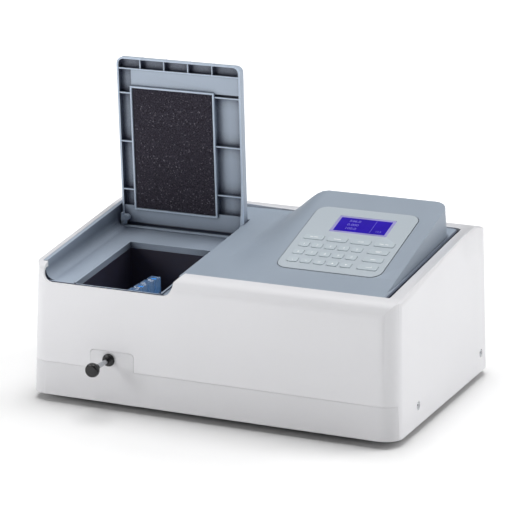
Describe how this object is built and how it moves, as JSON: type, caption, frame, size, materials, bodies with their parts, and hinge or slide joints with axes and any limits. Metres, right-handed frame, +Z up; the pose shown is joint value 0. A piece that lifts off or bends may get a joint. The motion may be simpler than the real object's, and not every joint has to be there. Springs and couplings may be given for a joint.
{
  "type": "visible-light spectrophotometer",
  "caption": "Bench-top spectrophotometer: white casing, blue-grey deck with keypad console, hinged lid over a sample compartment, pull rod that shifts the cuvettes.",
  "frame": {"origin": "centre of the overall box on the bench, at the rest pose with the lid open", "axes": "+Z up, +X along the front towards the keypad side, +Y from the front to the back"},
  "size_m": [0.4604, 0.3524, 0.3697],
  "materials": {
    "casing_white": "satin, fine moulded grain",
    "deck_blue_grey": "satin, fine moulded grain",
    "tray_grey": "satin, fine moulded grain",
    "keypad_grey": "satin membrane",
    "key_grey": "satin",
    "black_plastic": "satin",
    "black_anodised": "matt black anodised",
    "black_foam": "open-cell foam",
    "pan_metal": "dark powder coat",
    "rod_steel": "ground",
    "screw_steel": "bright",
    "connector_steel": "satin",
    "display_glass": "polished, back-lit blue-violet",
    "cuvette_glass": "polished, holding blue liquid",
    "lamp_glass": "clear",
    "circuit_board": "solder mask",
    "detector_alu": "as cast",
    "foot_rubber": "matt"
  },
  "bodies": {
    "casing": {"upper_casing": "casing_white", "front_skirt": "casing_white", "base_plate": "pan_metal", "top_panel": "deck_blue_grey", "lid_recess": "tray_grey", "sample_well": "black_anodised", "rod_bushing": "black_plastic", "keypad_plate": "keypad_grey", "lcd_window": "display_glass", "display_board": "circuit_board", "power_inlet": "black_plastic", "data_port": "connector_steel", "switch_frame": "black_plastic", "fan_frame": "black_plastic", "monochromator_cover": "black_anodised", "halogen_lamp": "lamp_glass", "detector_box": "detector_alu", "main_board": "circuit_board", "foot_front_left": "foot_rubber", "foot_front_right": "foot_rubber", "foot_rear_left": "foot_rubber", "foot_rear_right": "foot_rubber", "side_screw_left_front": "screw_steel", "side_screw_right_front": "screw_steel", "side_screw_left_rear": "screw_steel", "side_screw_right_rear": "screw_steel"},
    "lid": {"lid_shell": "tray_grey", "lid_foam": "black_foam"},
    "cell_changer": {"cell_carriage": "black_anodised", "cuvette_1": "cuvette_glass", "cuvette_2": "cuvette_glass", "cuvette_3": "cuvette_glass", "cuvette_4": "cuvette_glass", "pull_rod": "rod_steel", "pull_knob": "black_plastic"},
    "key_mode_cap": {"key_mode": "key_grey"},
    "key_setup_cap": {"key_setup": "key_grey"},
    "key_zero_cap": {"key_zero": "key_grey"},
    "key_measure_cap": {"key_measure": "key_grey"},
    "key_1_cap": {"key_1": "key_grey"},
    "key_2_cap": {"key_2": "key_grey"},
    "key_3_cap": {"key_3": "key_grey"},
    "key_4_cap": {"key_4": "key_grey"},
    "key_5_cap": {"key_5": "key_grey"},
    "key_print_cap": {"key_print": "key_grey"},
    "key_6_cap": {"key_6": "key_grey"},
    "key_7_cap": {"key_7": "key_grey"},
    "key_8_cap": {"key_8": "key_grey"},
    "key_9_cap": {"key_9": "key_grey"},
    "key_0_cap": {"key_0": "key_grey"},
    "key_escape_cap": {"key_escape": "key_grey"},
    "key_point_cap": {"key_point": "key_grey"},
    "key_minus_cap": {"key_minus": "key_grey"},
    "key_clear_cap": {"key_clear": "key_grey"},
    "key_up_cap": {"key_up": "key_grey"},
    "key_down_cap": {"key_down": "key_grey"},
    "key_enter_cap": {"key_enter": "key_grey"},
    "power_switch": {"power_rocker": "black_plastic"},
    "fan": {"fan_rotor": "black_plastic"},
    "grating": {"grating_table": "connector_steel"}
  },
  "joints": [
    {"name": "lid_hinge", "type": "hinge", "parent": "casing", "child": "lid", "pos_m": [0, 0.07325, 0.16775], "axis": [1, 0, 0], "range_deg": [0, 93.1]},
    {"name": "cell_changer_slide", "type": "slide", "parent": "casing", "child": "cell_changer", "axis": [0, 1, 0], "range_m": [-0.034, 0.017]},
    {"name": "key_mode_press", "type": "slide", "parent": "casing", "child": "key_mode_cap", "axis": [0, 0.2741, -0.9617], "range_m": [0, 0.0005], "stiffness_N_per_m": 300, "springref_m": -0.0005},
    {"name": "key_setup_press", "type": "slide", "parent": "casing", "child": "key_setup_cap", "axis": [0, 0.2741, -0.9617], "range_m": [0, 0.0005], "stiffness_N_per_m": 300, "springref_m": -0.0005},
    {"name": "key_zero_press", "type": "slide", "parent": "casing", "child": "key_zero_cap", "axis": [0, 0.2741, -0.9617], "range_m": [0, 0.0005], "stiffness_N_per_m": 300, "springref_m": -0.0005},
    {"name": "key_measure_press", "type": "slide", "parent": "casing", "child": "key_measure_cap", "axis": [0, 0.2741, -0.9617], "range_m": [0, 0.0005], "stiffness_N_per_m": 300, "springref_m": -0.0005},
    {"name": "key_1_press", "type": "slide", "parent": "casing", "child": "key_1_cap", "axis": [0, 0.2741, -0.9617], "range_m": [0, 0.0005], "stiffness_N_per_m": 300, "springref_m": -0.0005},
    {"name": "key_2_press", "type": "slide", "parent": "casing", "child": "key_2_cap", "axis": [0, 0.2741, -0.9617], "range_m": [0, 0.0005], "stiffness_N_per_m": 300, "springref_m": -0.0005},
    {"name": "key_3_press", "type": "slide", "parent": "casing", "child": "key_3_cap", "axis": [0, 0.2741, -0.9617], "range_m": [0, 0.0005], "stiffness_N_per_m": 300, "springref_m": -0.0005},
    {"name": "key_4_press", "type": "slide", "parent": "casing", "child": "key_4_cap", "axis": [0, 0.2741, -0.9617], "range_m": [0, 0.0005], "stiffness_N_per_m": 300, "springref_m": -0.0005},
    {"name": "key_5_press", "type": "slide", "parent": "casing", "child": "key_5_cap", "axis": [0, 0.2741, -0.9617], "range_m": [0, 0.0005], "stiffness_N_per_m": 300, "springref_m": -0.0005},
    {"name": "key_print_press", "type": "slide", "parent": "casing", "child": "key_print_cap", "axis": [0, 0.2741, -0.9617], "range_m": [0, 0.0005], "stiffness_N_per_m": 300, "springref_m": -0.0005},
    {"name": "key_6_press", "type": "slide", "parent": "casing", "child": "key_6_cap", "axis": [0, 0.2741, -0.9617], "range_m": [0, 0.0005], "stiffness_N_per_m": 300, "springref_m": -0.0005},
    {"name": "key_7_press", "type": "slide", "parent": "casing", "child": "key_7_cap", "axis": [0, 0.2741, -0.9617], "range_m": [0, 0.0005], "stiffness_N_per_m": 300, "springref_m": -0.0005},
    {"name": "key_8_press", "type": "slide", "parent": "casing", "child": "key_8_cap", "axis": [0, 0.2741, -0.9617], "range_m": [0, 0.0005], "stiffness_N_per_m": 300, "springref_m": -0.0005},
    {"name": "key_9_press", "type": "slide", "parent": "casing", "child": "key_9_cap", "axis": [0, 0.2741, -0.9617], "range_m": [0, 0.0005], "stiffness_N_per_m": 300, "springref_m": -0.0005},
    {"name": "key_0_press", "type": "slide", "parent": "casing", "child": "key_0_cap", "axis": [0, 0.2741, -0.9617], "range_m": [0, 0.0005], "stiffness_N_per_m": 300, "springref_m": -0.0005},
    {"name": "key_escape_press", "type": "slide", "parent": "casing", "child": "key_escape_cap", "axis": [0, 0.2741, -0.9617], "range_m": [0, 0.0005], "stiffness_N_per_m": 300, "springref_m": -0.0005},
    {"name": "key_point_press", "type": "slide", "parent": "casing", "child": "key_point_cap", "axis": [0, 0.2741, -0.9617], "range_m": [0, 0.0005], "stiffness_N_per_m": 300, "springref_m": -0.0005},
    {"name": "key_minus_press", "type": "slide", "parent": "casing", "child": "key_minus_cap", "axis": [0, 0.2741, -0.9617], "range_m": [0, 0.0005], "stiffness_N_per_m": 300, "springref_m": -0.0005},
    {"name": "key_clear_press", "type": "slide", "parent": "casing", "child": "key_clear_cap", "axis": [0, 0.2741, -0.9617], "range_m": [0, 0.0005], "stiffness_N_per_m": 300, "springref_m": -0.0005},
    {"name": "key_up_press", "type": "slide", "parent": "casing", "child": "key_up_cap", "axis": [0, 0.2741, -0.9617], "range_m": [0, 0.0005], "stiffness_N_per_m": 300, "springref_m": -0.0005},
    {"name": "key_down_press", "type": "slide", "parent": "casing", "child": "key_down_cap", "axis": [0, 0.2741, -0.9617], "range_m": [0, 0.0005], "stiffness_N_per_m": 300, "springref_m": -0.0005},
    {"name": "key_enter_press", "type": "slide", "parent": "casing", "child": "key_enter_cap", "axis": [0, 0.2741, -0.9617], "range_m": [0, 0.0005], "stiffness_N_per_m": 300, "springref_m": -0.0005},
    {"name": "power_switch_tip", "type": "hinge", "parent": "casing", "child": "power_switch", "pos_m": [-0.098, 0.16925, 0.046], "axis": [1, 0, 0], "range_deg": [-18, 0]},
    {"name": "fan_spin", "type": "hinge", "parent": "casing", "child": "fan", "pos_m": [0.12, 0.15625, 0.092], "axis": [0, 1, 0], "continuous": true},
    {"name": "grating_turn", "type": "hinge", "parent": "casing", "child": "grating", "pos_m": [0.032, -0.02575, 0.05], "axis": [0, 0, 1], "range_deg": [-20, 20]}
  ]
}
